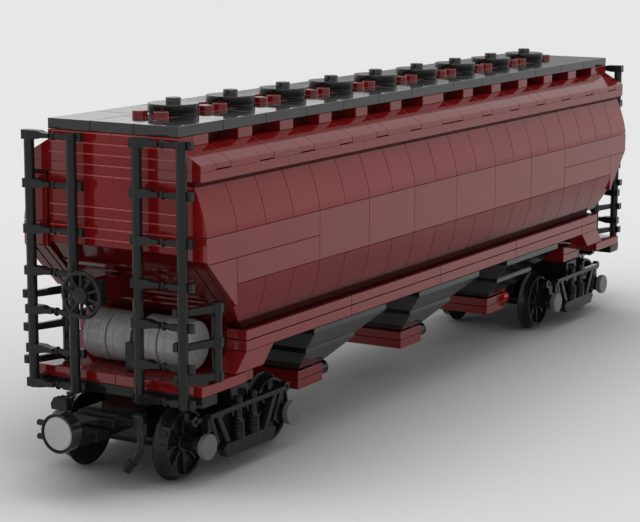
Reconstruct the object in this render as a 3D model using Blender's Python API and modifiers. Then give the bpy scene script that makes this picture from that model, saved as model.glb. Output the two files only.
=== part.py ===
"""A model covered hopper car: a brick-built body on two swivelling bogies.

The car's length lies along X and its width along Y. The origin is on the rails' side of the wheels,
below the middle of the car. The front is the end at -X, which carries the brake wheel. Left is +Y.
Heights of the body are counted in plates, downwards from the top of the roof deck.
"""

import math

import bmesh
import bpy
from mathutils import Matrix, Vector

MM = 0.001
STUD = 8 * MM
PLATE = 3.2 * MM
GAP = 0.3 * MM
STUD_RADIUS = 2.4 * MM
STUD_HEIGHT = 1.7 * MM

# Body
CAR_LENGTH = 40 * STUD
HALF_LENGTH = CAR_LENGTH / 2
DECK_TOP = 109.2 * MM
DECK_HALF_WIDTH = 3 * STUD
STRIP_HALF_WIDTH = STUD
STRIP_INSET = 2 * STUD
BODY_HALF_WIDTH = 34 * MM
PANEL_BACK = DECK_HALF_WIDTH + GAP
PANEL_BULGE_RADIUS = 26 * MM
PANEL_ARC_STEPS = 6
EAVE_BOTTOM = 5
BAND_TOP = 10
BAND_BOTTOM = 15
EAVE_HALF_WIDTH = 4 * STUD
EAVE_STEP = DECK_HALF_WIDTH + GAP
EAVE_LIP = 11 * MM
RIB_BOTTOM = 2
RIB_STATIONS = [STUD + 3 * STUD * k for k in range(6)]
CORE_NECK_HALF_WIDTH = 2 * STUD - GAP
CORE_WALL = PLATE
PANEL_FOOT = 62 * MM
END_SLOPE_START = 39.2 * MM
END_SLOPE_THICKNESS = 5.6 * MM

# Ends
END_WALL_BACK = STUD
END_WALL_FOOT = 12
FOOT_WALL = 4 * MM
PLATFORM_TOP = 24
PLATFORM_LENGTH = 3 * STUD
BOLSTER_END = 5 * STUD
BOLSTER_BOTTOM = 26
KING_PIN_STATION = 4 * STUD
KING_PIN_RADIUS = 2.4 * MM
KING_PIN_LENGTH = 5 * MM

# Sills and hopper bays
SILL_TOP = 20
SILL_BOTTOM = 22
SILL_END = 3 * STUD
SILL_HALF_WIDTH = 4 * STUD
LEDGE_HALF_WIDTH = 28 * MM
BAY_PITCH = 9 * STUD
BAY_HALF_LENGTH = 3 * STUD
BAY_TIER = 3 * PLATE
BAY_LIP = 2 * MM
BAY_TIERS = 2
GATE_DROP = 0.6 * MM
GATE_HALF_LENGTH = STUD
GATE_HALF_WIDTH = 2 * STUD
LATCH_LENGTH = 3.7 * MM

# Roof fittings
HATCH_PITCH = 4 * STUD
HATCH_COUNT = 9
HATCH_RADIUS = STUD
HATCH_CHAMFER = 0.4 * MM
HATCH_STEPS = 20

# Ladders
LADDER_FACE = 4 * MM
RAIL_RADIUS = 1.6 * MM
RAIL_OFFSETS = (12 * MM, 28 * MM)
RUNG_DROPS = (4.9 * MM, 19.6 * MM, 33.6 * MM, 46.5 * MM, 58.6 * MM, 70.8 * MM, 81.6 * MM)
RUNG_HALF_HEIGHT = 1.2 * MM
RUNG_HALF_DEPTH = 1.4 * MM
SIDE_POST_STATION = STUD
SIDE_POST_HALF = 1.6 * MM
FOOT_HALF_WIDTH = 1 * MM
LADDER_FOOT_HEIGHT = 3 * MM
LADDER_HOOK_DROP = 9 * MM
SIDE_RUNG_DROPS = (54 * MM, 64.4 * MM, 74.6 * MM)

# Brake gear on the front end
TANK_RADIUS = STUD
TANK_HALF_LENGTH = 19.2 * MM
TANK_STATION = 2 * STUD
TANK_RIM = 1.2 * MM
WHEEL_CENTRE_Y = 4.3 * MM
BRAKE_WHEEL_DROP = 50.9 * MM
BRAKE_WHEEL_RADIUS = 7.4 * MM
BRAKE_WHEEL_RIM = 1.5 * MM
BRAKE_WHEEL_FACE = -11.2 * MM
BRAKE_WHEEL_THICKNESS = 2 * MM
BRAKE_SHAFT_RADIUS = 1.4 * MM
BRAKE_BRACKET_FACE = -6 * MM
SPOKE_COUNT = 10

# Bogies
BOGIE_STATION = 4 * STUD
AXLE_SPREAD = 3 * STUD
AXLE_RADIUS = 1.6 * MM
AXLE_HALF_LENGTH = 26.6 * MM
FLANGE_RADIUS = 12 * MM
TREAD_RADIUS = 10.4 * MM
TREAD_OUTER = 20.8 * MM
TREAD_INNER = 17.4 * MM
FLANGE_OUTER = 16.9 * MM
FLANGE_INNER = 15.9 * MM
WHEEL_STEPS = 20
FRAME_TOP = 22.4 * MM
FRAME_BOTTOM = 19.2 * MM
FRAME_HALF_WIDTH = 12 * MM
FRAME_HALF_LENGTH = 22 * MM
CROSS_BEAM_HALF_LENGTH = 5.4 * MM
SIDE_FRAME_INNER = 25.3 * MM
SIDE_FRAME_OUTER = 28.4 * MM
CROSS_BEAM_REACH = 24.4 * MM
CAP_RADIUS = 4 * MM
CAP_OUTER = 29.2 * MM
BORE_RADIUS = 2 * MM
BORE_END = 26.9 * MM
SPRING_RADIUS = 2.2 * MM
SPRING_OFFSET = 4 * MM
SPRING_CENTRE = 27 * MM
TONGUE_END = STUD
TONGUE_HALF_WIDTH = STUD

# Couplers and hoses
COUPLER_HEIGHT = 20.5 * MM
COUPLER_FACE = 28.4 * MM
COUPLER_PIVOT = 4 * MM
ARM_TOP = 18.9 * MM
ARM_BOTTOM = 15.6 * MM
ARM_HALF_WIDTH = 4 * MM
RING_RADIUS = 6 * MM
RING_LENGTH = 4.2 * MM
MAGNET_RADIUS = 5.1 * MM
MAGNET_LENGTH = 3.2 * MM
PIVOT_PIN_RADIUS = 1.4 * MM
LUG_RADIUS = 0.9 * MM
LUG_LENGTH = 2.6 * MM
HOSE_RADIUS = 1.2 * MM
HOSE_STATION = -10 * MM

DARK_RED = (0.165, 0.006, 0.006)
BLACK = (0.012, 0.013, 0.013)
TANK_GREY = (0.19, 0.19, 0.195)
MAGNET_GREY = (0.42, 0.42, 0.41)

ENDS = {"front": -1, "rear": 1}
SIDES = {"left": 1, "right": -1}


def clear_scene():
    for obj in list(bpy.data.objects):
        bpy.data.objects.remove(obj, do_unlink=True)


def new_collection(name, hidden=False):
    collection = bpy.data.collections.new(name)
    bpy.context.scene.collection.children.link(collection)
    collection.hide_render = hidden
    return collection


clear_scene()
CAR = new_collection("hopper_car")
CUTTERS = new_collection("cutters", hidden=True)


def plastic(name, colour, roughness=0.22, metallic=0.0):
    material = bpy.data.materials.new(name)
    material.use_nodes = True
    shader = material.node_tree.nodes["Principled BSDF"]
    shader.inputs["Base Color"].default_value = (*colour, 1.0)
    shader.inputs["Roughness"].default_value = roughness
    shader.inputs["Metallic"].default_value = metallic
    return material


RED = plastic("dark_red", DARK_RED)
DARK = plastic("black", BLACK)
GREY = plastic("tank_grey", TANK_GREY, 0.3)
STEEL = plastic("magnet", MAGNET_GREY, 0.35, 0.6)


def drop(plates):
    """The height of a level that lies this many plates below the top of the deck."""
    return DECK_TOP - plates * PLATE


def station(end, inward):
    """The X of a place this far in from one end of the deck."""
    return ENDS[end] * (HALF_LENGTH - inward)


def add_object(name, mesh, matrix=None):
    obj = bpy.data.objects.new(name, mesh)
    CAR.objects.link(obj)
    if matrix is not None:
        obj.matrix_world = matrix
    return obj


def mesh_from(name, work):
    mesh = bpy.data.meshes.new(name)
    work.to_mesh(mesh)
    work.free()
    return mesh


def block(x, y, z):
    """A box between two values of each coordinate, given in either order."""
    low = Vector([min(pair) for pair in (x, y, z)])
    high = Vector([max(pair) for pair in (x, y, z)])
    work = bmesh.new()
    bmesh.ops.create_cube(work, size=1.0)
    bmesh.ops.scale(work, vec=high - low, verts=work.verts)
    return add_object("block", mesh_from("block", work), Matrix.Translation((low + high) / 2))


AXIS_TURNS = {
    "X": Matrix(((0, 0, 1), (1, 0, 0), (0, 1, 0))).to_4x4(),
    "Y": Matrix(((1, 0, 0), (0, 0, -1), (0, 1, 0))).to_4x4(),
    "Z": Matrix.Identity(4),
}


def prism(axis, outlines, low, high):
    """Flat outlines in the plane square to an axis, made solid between two places along it.

    The first outline is the outside, and the others are holes. Their points are (Y, Z) for axis X,
    (X, Z) for axis Y and (X, Y) for axis Z.
    """
    curve = bpy.data.curves.new("outline", "CURVE")
    curve.dimensions = "2D"
    curve.fill_mode = "BOTH"
    curve.extrude = abs(high - low) / 2
    for points in outlines:
        spline = curve.splines.new("POLY")
        spline.points.add(len(points) - 1)
        for point, (u, v) in zip(spline.points, points):
            point.co = (u, v, 0, 1)
        spline.use_cyclic_u = True
    middle = (low + high) / 2
    place = {"X": (middle, 0, 0), "Y": (0, middle, 0), "Z": (0, 0, middle)}[axis]
    return solid_of_curve(curve, Matrix.Translation(place) @ AXIS_TURNS[axis])


def solid_of_curve(curve, matrix):
    """The curve as a closed mesh, with its caps welded to its sides."""
    guide = bpy.data.objects.new("guide", curve)
    bpy.context.scene.collection.objects.link(guide)
    graph = bpy.context.evaluated_depsgraph_get()
    mesh = bpy.data.meshes.new_from_object(guide.evaluated_get(graph))
    bpy.data.objects.remove(guide)
    work = bmesh.new()
    work.from_mesh(mesh)
    bmesh.ops.remove_doubles(work, verts=work.verts, dist=1e-6)
    bmesh.ops.recalc_face_normals(work, faces=work.faces)
    work.to_mesh(mesh)
    work.free()
    return add_object("solid", mesh, matrix)


def rod(axis, centre, radius, low, high, sides=16):
    """A cylinder along an axis. centre gives its two other coordinates, in X, Y, Z order."""
    work = bmesh.new()
    bmesh.ops.create_cone(
        work, cap_ends=True, segments=sides, radius1=radius, radius2=radius, depth=abs(high - low)
    )
    middle = (low + high) / 2
    first, second = centre
    place = {
        "X": (middle, first, second), "Y": (first, middle, second), "Z": (first, second, middle)
    }[axis]
    matrix = Matrix.Translation(place) @ AXIS_TURNS[axis]
    return add_object("rod", mesh_from("rod", work), matrix)


def turned(profile, steps, matrix):
    """A turned shape about its own Z. The profile's (radius, height) points run from top to bottom."""
    work = bmesh.new()
    corners = [work.verts.new((radius, 0, height)) for radius, height in profile]
    for first, second in zip(corners, corners[1:]):
        work.edges.new((first, second))
    obj = add_object("turned", mesh_from("turned", work), matrix)
    screw = obj.modifiers.new("screw", "SCREW")
    screw.steps = steps
    screw.render_steps = steps
    screw.use_merge_vertices = True
    screw.merge_threshold = 0.00001
    return obj


def helper(obj, name):
    """Makes an object a cutter or a joining piece, which is left out of the car."""
    CAR.objects.unlink(obj)
    CUTTERS.objects.link(obj)
    obj.name = name
    obj.hide_render = True
    obj.display_type = "WIRE"


def combine(base, others, operation):
    for other in others:
        helper(other, f"{base.name}_helper")
        boolean = base.modifiers.new(operation.lower(), "BOOLEAN")
        boolean.operation = operation
        boolean.object = other
        boolean.solver = "EXACT"


def finish(name, pieces, material, cuts=(), smooth=False):
    """One named piece of the car: the first solid, joined with the others, less the cuts."""
    base, *others = pieces
    base.name = name
    base.data.name = name
    base.data.materials.clear()
    base.data.materials.append(material)
    combine(base, others, "UNION")
    combine(base, cuts, "DIFFERENCE")
    if smooth:
        base.data.shade_smooth()
    return base


def move_origin(obj, place):
    """Puts an object's origin on its joint, and leaves its shape where it is."""
    place = Vector(place)
    bpy.context.view_layer.update()
    offset = obj.matrix_world.inverted() @ place
    obj.data.transform(Matrix.Translation(-offset))
    obj.matrix_world = obj.matrix_world @ Matrix.Translation(offset)


def joined_mesh(solids):
    """Several separate solids as one mesh, to be joined to a base in one step."""
    work = bmesh.new()
    for solid in solids:
        solid.data.transform(solid.matrix_world)
        work.from_mesh(solid.data)
        bpy.data.objects.remove(solid)
    return add_object("group", mesh_from("group", work))


def make_roof():
    bottom = drop(1)
    strip_end = HALF_LENGTH - STRIP_INSET
    deck = block((-HALF_LENGTH, HALF_LENGTH), (-DECK_HALF_WIDTH, DECK_HALF_WIDTH), (bottom, DECK_TOP))
    slot = block((-strip_end, strip_end), (-STRIP_HALF_WIDTH, STRIP_HALF_WIDTH), (0, 2 * DECK_TOP))
    finish("roof_deck", [deck], DARK, cuts=[slot])
    length = strip_end - GAP
    width = STRIP_HALF_WIDTH - GAP
    strip = block((-length, length), (-width, width), (bottom, DECK_TOP))
    pairs = [HATCH_PITCH * (k - HATCH_COUNT / 2) for k in range(1, HATCH_COUNT)]
    columns = [x + side * STUD / 2 for x in pairs for side in (-1, 1)]
    columns += [-strip_end + STUD / 2, strip_end - STUD / 2]
    sink = 0.5 * MM
    studs = [
        rod("Z", (x, y), STUD_RADIUS, DECK_TOP - sink, DECK_TOP + STUD_HEIGHT, 10)
        for x in columns
        for y in (-STUD / 2, STUD / 2)
    ]
    bpy.context.view_layer.update()
    finish("stud_strip", [strip, joined_mesh(studs)], RED)


def make_hatches():
    base = DECK_TOP + GAP
    lid_top = DECK_TOP + PLATE
    profile = [
        (0, lid_top + STUD_HEIGHT),
        (STUD_RADIUS, lid_top + STUD_HEIGHT),
        (STUD_RADIUS, lid_top),
        (HATCH_RADIUS - HATCH_CHAMFER, lid_top),
        (HATCH_RADIUS, lid_top - HATCH_CHAMFER),
        (HATCH_RADIUS, base),
        (0, base),
    ]
    for k in range(HATCH_COUNT):
        x = HATCH_PITCH * (k - (HATCH_COUNT - 1) / 2)
        hatch = turned(profile, HATCH_STEPS, Matrix.Translation((x, 0, 0)))
        finish(f"hatch_{k + 1}", [hatch], DARK, smooth=True)


def make_roof_edge(side):
    """The row of ribs under the deck's edge, and the sloping eave that they stand on."""
    out = SIDES[side]
    back = CORE_NECK_HALF_WIDTH + GAP
    under = drop(RIB_BOTTOM)
    outline = [
        (out * back, under),
        (out * EAVE_STEP, under),
        (out * EAVE_HALF_WIDTH, DECK_TOP - EAVE_LIP),
        (out * EAVE_HALF_WIDTH, drop(EAVE_BOTTOM)),
        (out * back, drop(EAVE_BOTTOM)),
    ]
    eave = prism("X", [outline], -HALF_LENGTH, HALF_LENGTH)
    top = drop(1) - GAP
    sink = 0.5 * MM
    ribs = [block((-STUD, STUD), (out * back, out * DECK_HALF_WIDTH), (under - sink, top))]
    for inward in RIB_STATIONS:
        for end in ENDS:
            x = (station(end, inward), station(end, inward + STUD))
            ribs.append(block(x, (out * back, out * DECK_HALF_WIDTH), (under - sink, top)))
    corners = [
        block(
            (station(end, -STUD), station(end, END_WALL_BACK + GAP)),
            (0, out * PANEL_BACK),
            (0, 2 * DECK_TOP),
        )
        for end in ENDS
    ]
    bpy.context.view_layer.update()
    finish(f"roof_edge_{side}", [eave, joined_mesh(ribs)], RED, cuts=corners)


def bulge(height):
    """How far a side panel's face has drawn in at this height above or below the flat band."""
    return PANEL_BULGE_RADIUS - math.sqrt(PANEL_BULGE_RADIUS**2 - height**2)


def end_wedges():
    """Blocks that cut the lower corners of the body along the slope of its ends."""
    reach = 60 * MM
    wedges = []
    for end in ENDS:
        outline = [
            (station(end, -reach), DECK_TOP - END_SLOPE_START + reach),
            (station(end, reach), DECK_TOP - END_SLOPE_START - reach),
            (station(end, -reach), DECK_TOP - END_SLOPE_START - reach),
        ]
        wedges.append(prism("Y", [outline], -2 * BODY_HALF_WIDTH, 2 * BODY_HALF_WIDTH))
    return wedges


def make_side(side):
    out = SIDES[side]
    band_top = drop(BAND_TOP)
    band_bottom = drop(BAND_BOTTOM)
    top = drop(EAVE_BOTTOM) - GAP
    foot = DECK_TOP - PANEL_FOOT
    back = out * PANEL_BACK

    def curved(start, stop):
        """A panel's outline: its curved face from the flat band outwards, then its back."""
        edge = band_top if stop > start else band_bottom
        heights = [start + (stop - start) * k / PANEL_ARC_STEPS for k in range(PANEL_ARC_STEPS + 1)]
        face = [(out * (BODY_HALF_WIDTH - bulge(z - edge)), z) for z in heights]
        return [*face, (back, stop), (back, start)]

    upper = prism("X", [curved(band_top + GAP / 2, top)], -HALF_LENGTH, HALF_LENGTH)
    finish(f"upper_panel_{side}", [upper], RED)
    band_heights = (band_bottom + GAP / 2, band_top - GAP / 2)
    band = block((-HALF_LENGTH, HALF_LENGTH), (back, out * BODY_HALF_WIDTH), band_heights)
    finish(f"side_band_{side}", [band], RED, cuts=end_wedges())
    lower = prism("X", [curved(band_bottom - GAP / 2, foot)], -HALF_LENGTH, HALF_LENGTH)
    finish(f"lower_panel_{side}", [lower], RED, cuts=end_wedges())


def make_core():
    """The hollow inner frame that the panels, the deck and the end walls are fixed to."""
    foot = DECK_TOP - PANEL_FOOT
    shoulder = drop(EAVE_BOTTOM) - GAP
    top = drop(1) - GAP
    wide = DECK_HALF_WIDTH
    neck = CORE_NECK_HALF_WIDTH
    length = HALF_LENGTH - END_WALL_BACK - GAP

    def section(inset):
        return [
            (-wide + inset, foot + inset), (wide - inset, foot + inset),
            (wide - inset, shoulder - inset), (neck - inset, shoulder - inset),
            (neck - inset, top - inset), (-neck + inset, top - inset),
            (-neck + inset, shoulder - inset), (-wide + inset, shoulder - inset),
        ]

    tube = prism("X", [section(0), section(CORE_WALL)], -length, length)
    cuts = []
    for end in ENDS:
        shift = (END_SLOPE_THICKNESS + GAP) * math.sqrt(2)
        reach = 60 * MM
        start = DECK_TOP - END_SLOPE_START
        outline = [
            (station(end, shift - reach), start + reach),
            (station(end, shift + reach), start - reach),
            (station(end, shift - reach), start - reach),
        ]
        cuts.append(prism("Y", [outline], -2 * wide, 2 * wide))
    finish("body_core", [tube], RED, cuts=cuts)


def make_floor():
    """The floor between the sills, with the narrow ledge that shows above them."""
    top = DECK_TOP - PANEL_FOOT - GAP
    ledge = drop(SILL_TOP) + GAP
    bottom = drop(SILL_BOTTOM) + GAP
    inner = DECK_HALF_WIDTH
    outline = [
        (-LEDGE_HALF_WIDTH, top), (LEDGE_HALF_WIDTH, top), (LEDGE_HALF_WIDTH, ledge),
        (inner, ledge), (inner, bottom), (-inner, bottom), (-inner, ledge), (-LEDGE_HALF_WIDTH, ledge),
    ]
    length = HALF_LENGTH - (SILL_END + 2 * MM + FOOT_WALL + GAP)
    finish("floor_plate", [prism("X", [outline], -length, length)], RED)


def make_sill(side):
    """A side sill, with the slanted bracket that carries each of its ends on a platform."""
    out = SIDES[side]
    top = drop(SILL_TOP)
    under = drop(SILL_BOTTOM)
    foot = drop(PLATFORM_TOP) + GAP
    lean = under - foot
    near = HALF_LENGTH - SILL_END
    inner = near - 2 * STUD
    right = [(near, top), (near, under), (near + lean, foot), (inner + lean, foot), (inner, under)]
    left = [(-x, z) for x, z in reversed(right)]
    sill = prism("Y", [right + left], out * PANEL_BACK, out * SILL_HALF_WIDTH)
    finish(f"side_sill_{side}", [sill], RED)


def bay_tier(x, top, half_length, half_width):
    """One course of a hopper bay: an upright lip, then four faces that slope in by a stud."""
    corners = []
    bottom = top - BAY_TIER
    for inset, z in ((0, top), (0, top - BAY_LIP), (STUD, bottom)):
        corners.append((half_length - inset, half_width - inset, z))
    work = bmesh.new()
    rings = []
    for length, width, z in corners:
        ring = [
            work.verts.new((x + sx * length, sy * width, z))
            for sx, sy in ((-1, -1), (1, -1), (1, 1), (-1, 1))
        ]
        rings.append(ring)
    work.faces.new(rings[0])
    work.faces.new(list(reversed(rings[-1])))
    for upper, lower in zip(rings, rings[1:]):
        for k in range(4):
            n = (k + 1) % 4
            work.faces.new((upper[n], upper[k], lower[k], lower[n]))
    bmesh.ops.recalc_face_normals(work, faces=work.faces)
    return add_object("tier", mesh_from("tier", work))


def make_bays():
    top = drop(SILL_BOTTOM) - GAP
    overlap = 0.2 * MM
    for k in range(3):
        x = BAY_PITCH * (k - 1)
        tiers = []
        for tier in range(BAY_TIERS):
            inset = tier * STUD
            lift = overlap if tier else 0
            level = top - tier * (BAY_TIER - GAP) + lift
            tiers.append(bay_tier(x, level, BAY_HALF_LENGTH - inset, SILL_HALF_WIDTH - inset))
        finish(f"hopper_bay_{k + 1}", tiers, DARK)
        bottom = drop(SILL_BOTTOM + 6)
        gate_top = bottom - GATE_DROP
        gate_bottom = gate_top - 2 * PLATE
        ends = (x - GATE_HALF_LENGTH, x + GATE_HALF_LENGTH)
        gate = block(ends, (-GATE_HALF_WIDTH, GATE_HALF_WIDTH), (gate_bottom, gate_top))
        latch_centre = (STUD_RADIUS - GATE_HALF_WIDTH, gate_top - STUD_RADIUS)
        latch = rod("X", latch_centre, STUD_RADIUS, ends[1] - MM, ends[1] + LATCH_LENGTH, 12)
        finish(f"outlet_gate_{k + 1}", [gate, latch], RED)


def make_end(end):
    x_face = station(end, 0)
    x_back = station(end, END_WALL_BACK)
    half = DECK_HALF_WIDTH
    wall = block((x_face, x_back), (-half, half), (drop(END_WALL_FOOT), drop(1) - GAP))
    finish(f"end_wall_{end}", [wall], RED)

    start = DECK_TOP - END_SLOPE_START
    upper = drop(END_WALL_FOOT) - GAP
    lift = upper - start
    foot_station = SILL_END + 2 * MM
    thick = END_SLOPE_THICKNESS * math.sqrt(2)
    foot = drop(PLATFORM_TOP) + GAP
    bend = start - foot_station
    outline = [
        (station(end, 0), upper),
        (station(end, 0), start),
        (station(end, foot_station), bend),
        (station(end, foot_station), foot),
        (station(end, foot_station + FOOT_WALL), foot),
        (station(end, foot_station + FOOT_WALL), start + thick - foot_station - FOOT_WALL),
        (station(end, thick - lift), upper),
    ]
    finish(f"end_slope_{end}", [prism("Y", [outline], -half, half)], RED)

    top = drop(PLATFORM_TOP)
    underside = drop(BOLSTER_BOTTOM)
    floor = block(
        (station(end, 0), station(end, PLATFORM_LENGTH)),
        (-SILL_HALF_WIDTH, SILL_HALF_WIDTH),
        (drop(PLATFORM_TOP + 1), top),
    )
    bolster = block((station(end, 2 * STUD), station(end, BOLSTER_END)), (-half, half), (underside, top))
    x_pin = station(end, KING_PIN_STATION)
    pin = rod("Z", (x_pin, 0), KING_PIN_RADIUS, underside - KING_PIN_LENGTH, underside + MM)
    finish(f"end_platform_{end}", [floor, bolster, pin], RED)

    sill = block(
        (station(end, 0), station(end, STUD)),
        (-SILL_HALF_WIDTH, SILL_HALF_WIDTH),
        (underside, drop(PLATFORM_TOP + 1) - GAP),
    )
    finish(f"end_sill_{end}", [sill], DARK)


def make_ladder(end, side):
    """An end ladder with two rails, and the short side ladder that shares its outer rail."""
    out = SIDES[side]
    inner, outer = RAIL_OFFSETS
    bottom = drop(BOLSTER_BOTTOM)
    top = drop(1) - GAP
    start = station(end, -LADDER_FACE)
    pieces = [rod("Z", (start, out * y), RAIL_RADIUS, bottom, top, 8) for y in RAIL_OFFSETS]
    rungs = []
    depth = (
        station(end, -LADDER_FACE - RUNG_HALF_DEPTH),
        station(end, -LADDER_FACE + RUNG_HALF_DEPTH),
    )
    for below in RUNG_DROPS:
        z = DECK_TOP - below
        height = (z - RUNG_HALF_HEIGHT, z + RUNG_HALF_HEIGHT)
        rungs.append(block(depth, (out * inner, out * outer), height))
    hook = top - LADDER_HOOK_DROP
    reach = (start, station(end, -GAP))
    for y in RAIL_OFFSETS:
        width = (out * (y - FOOT_HALF_WIDTH), out * (y + FOOT_HALF_WIDTH))
        rungs.append(block(reach, width, (bottom, bottom + LADDER_FOOT_HEIGHT)))
        rungs.append(block(reach, width, (hook, hook + LADDER_FOOT_HEIGHT)))
    post = station(end, SIDE_POST_STATION)
    # seen from outside its end, each ladder carries its post on the same side
    outward = (end == "front") == (side == "right")
    post_y = SILL_HALF_WIDTH if outward else 2 * outer - SILL_HALF_WIDTH
    across = (out * (post_y - SIDE_POST_HALF), out * (post_y + SIDE_POST_HALF))
    post_top = DECK_TOP - SIDE_RUNG_DROPS[0] + 2 * RUNG_HALF_HEIGHT
    along = (post - SIDE_POST_HALF, post + SIDE_POST_HALF)
    rungs.append(block(along, across, (drop(PLATFORM_TOP) + GAP, post_top)))
    for below in SIDE_RUNG_DROPS:
        z = DECK_TOP - below
        height = (z - RUNG_HALF_HEIGHT, z + RUNG_HALF_HEIGHT)
        width = (out * outer, out * post_y)
        rungs.append(block((start, post), width, height))
    finish(f"ladder_{end}_{side}", [*pieces, *rungs], DARK)


def make_brake_gear():
    z_tank = drop(PLATFORM_TOP) + GAP + TANK_RADIUS
    half = TANK_HALF_LENGTH
    profile = [
        (0, half),
        (TANK_RADIUS - TANK_RIM, half),
        (TANK_RADIUS, half - TANK_RIM),
        (TANK_RADIUS, -half + TANK_RIM),
        (TANK_RADIUS - TANK_RIM, -half),
        (0, -half),
    ]
    place = Matrix.Translation((station("front", TANK_STATION), 0, z_tank)) @ AXIS_TURNS["Y"]
    finish("air_tank", [turned(profile, 24, place)], GREY, smooth=True)

    z = DECK_TOP - BRAKE_WHEEL_DROP
    centre = (WHEEL_CENTRE_Y, z)
    face = station("front", BRAKE_WHEEL_FACE)
    back = face + BRAKE_WHEEL_THICKNESS
    rim = rod("X", centre, BRAKE_WHEEL_RADIUS, face, back, 20)
    window = rod("X", centre, BRAKE_WHEEL_RADIUS - BRAKE_WHEEL_RIM, face - MM, back + MM, 20)
    wheel = finish("brake_wheel", [rim], DARK, cuts=[window])
    spoke_half = 0.45 * MM
    reach = BRAKE_WHEEL_RADIUS - BRAKE_WHEEL_RIM / 2
    parts = []
    for k in range(SPOKE_COUNT // 2):
        spoke = block(
            (face + 0.4 * MM, back - 0.4 * MM), (-reach, reach), (-spoke_half, spoke_half)
        )
        turn = Matrix.Rotation(math.tau * k / SPOKE_COUNT + math.tau / 4, 4, "X")
        spoke.matrix_world = Matrix.Translation((0, *centre)) @ turn @ spoke.matrix_world
        parts.append(spoke)
    bracket_face = station("front", BRAKE_BRACKET_FACE)
    parts.append(rod("X", centre, 2.2 * MM, face - 0.4 * MM, back + 0.4 * MM, 12))
    parts.append(rod("X", centre, BRAKE_SHAFT_RADIUS, face + MM, bracket_face + 4 * MM, 12))
    combine(wheel, parts, "UNION")
    move_origin(wheel, (face, *centre))

    start = DECK_TOP - END_SLOPE_START
    half_height = 5 * MM
    clear = GAP * math.sqrt(2)
    top, bottom = z + half_height, z - half_height
    outline = [
        (bracket_face, top),
        (station("front", start - top - clear), top),
        (station("front", start - bottom - clear), bottom),
        (bracket_face, bottom),
    ]
    width = 3 * MM
    plate = prism("Y", [outline], WHEEL_CENTRE_Y - width, WHEEL_CENTRE_Y + width)
    bore = rod("X", centre, BRAKE_SHAFT_RADIUS + GAP, bracket_face - MM, bracket_face + 5 * MM, 12)
    finish("brake_bracket", [plate], DARK, cuts=[bore])


def wheelset_profile():
    """Half of a wheelset's turned outline from its end inwards, then its mirror image."""
    half = [
        (AXLE_RADIUS, AXLE_HALF_LENGTH),
        (AXLE_RADIUS, TREAD_OUTER),
        (TREAD_RADIUS, TREAD_OUTER),
        (TREAD_RADIUS, TREAD_INNER),
        (FLANGE_RADIUS, FLANGE_OUTER),
        (FLANGE_RADIUS, FLANGE_INNER),
        (AXLE_RADIUS, FLANGE_INNER),
    ]
    mirrored = [(radius, -height) for radius, height in reversed(half)]
    return [(0, AXLE_HALF_LENGTH), *half, *mirrored, (0, -AXLE_HALF_LENGTH)]


def make_side_frame(end, side, x):
    """An arch-shaped side frame with its springs and the round caps over its axle ends."""
    out = SIDES[side]
    outside = [
        (-27, 12), (-27, 20.6), (-21, 20.6), (-21, 22), (21, 22), (21, 20.6), (27, 20.6), (27, 12),
        (21, 12), (20, 13), (13.5, 6), (-13.5, 6), (-20, 13), (-21, 12),
    ]
    window = [(-10.5, 10.7), (10.5, 10.7), (16.5, 19.8), (-16.5, 19.8)]
    outlines = [[(x + u * MM, v * MM) for u, v in points] for points in (outside, window)]
    inner, outer = out * SIDE_FRAME_INNER, out * SIDE_FRAME_OUTER
    pieces = [prism("Y", outlines, inner, outer)]
    for sign in (-1, 1):
        foot = (x + sign * SPRING_OFFSET, out * SPRING_CENTRE)
        pieces.append(rod("Z", foot, SPRING_RADIUS, 10.2 * MM, 20.2 * MM, 12))
        cap_centre = (x + sign * AXLE_SPREAD, FLANGE_RADIUS)
        cap_inner = out * (BORE_END - GAP)
        pieces.append(rod("Y", cap_centre, CAP_RADIUS, cap_inner, out * CAP_OUTER))
    bores = [
        rod(
            "Y", (x + sign * AXLE_SPREAD, FLANGE_RADIUS), BORE_RADIUS,
            out * (SIDE_FRAME_INNER - MM), out * BORE_END,
        )
        for sign in (-1, 1)
    ]
    finish(f"side_frame_{end}_{side}", pieces, DARK, cuts=bores)


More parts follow.
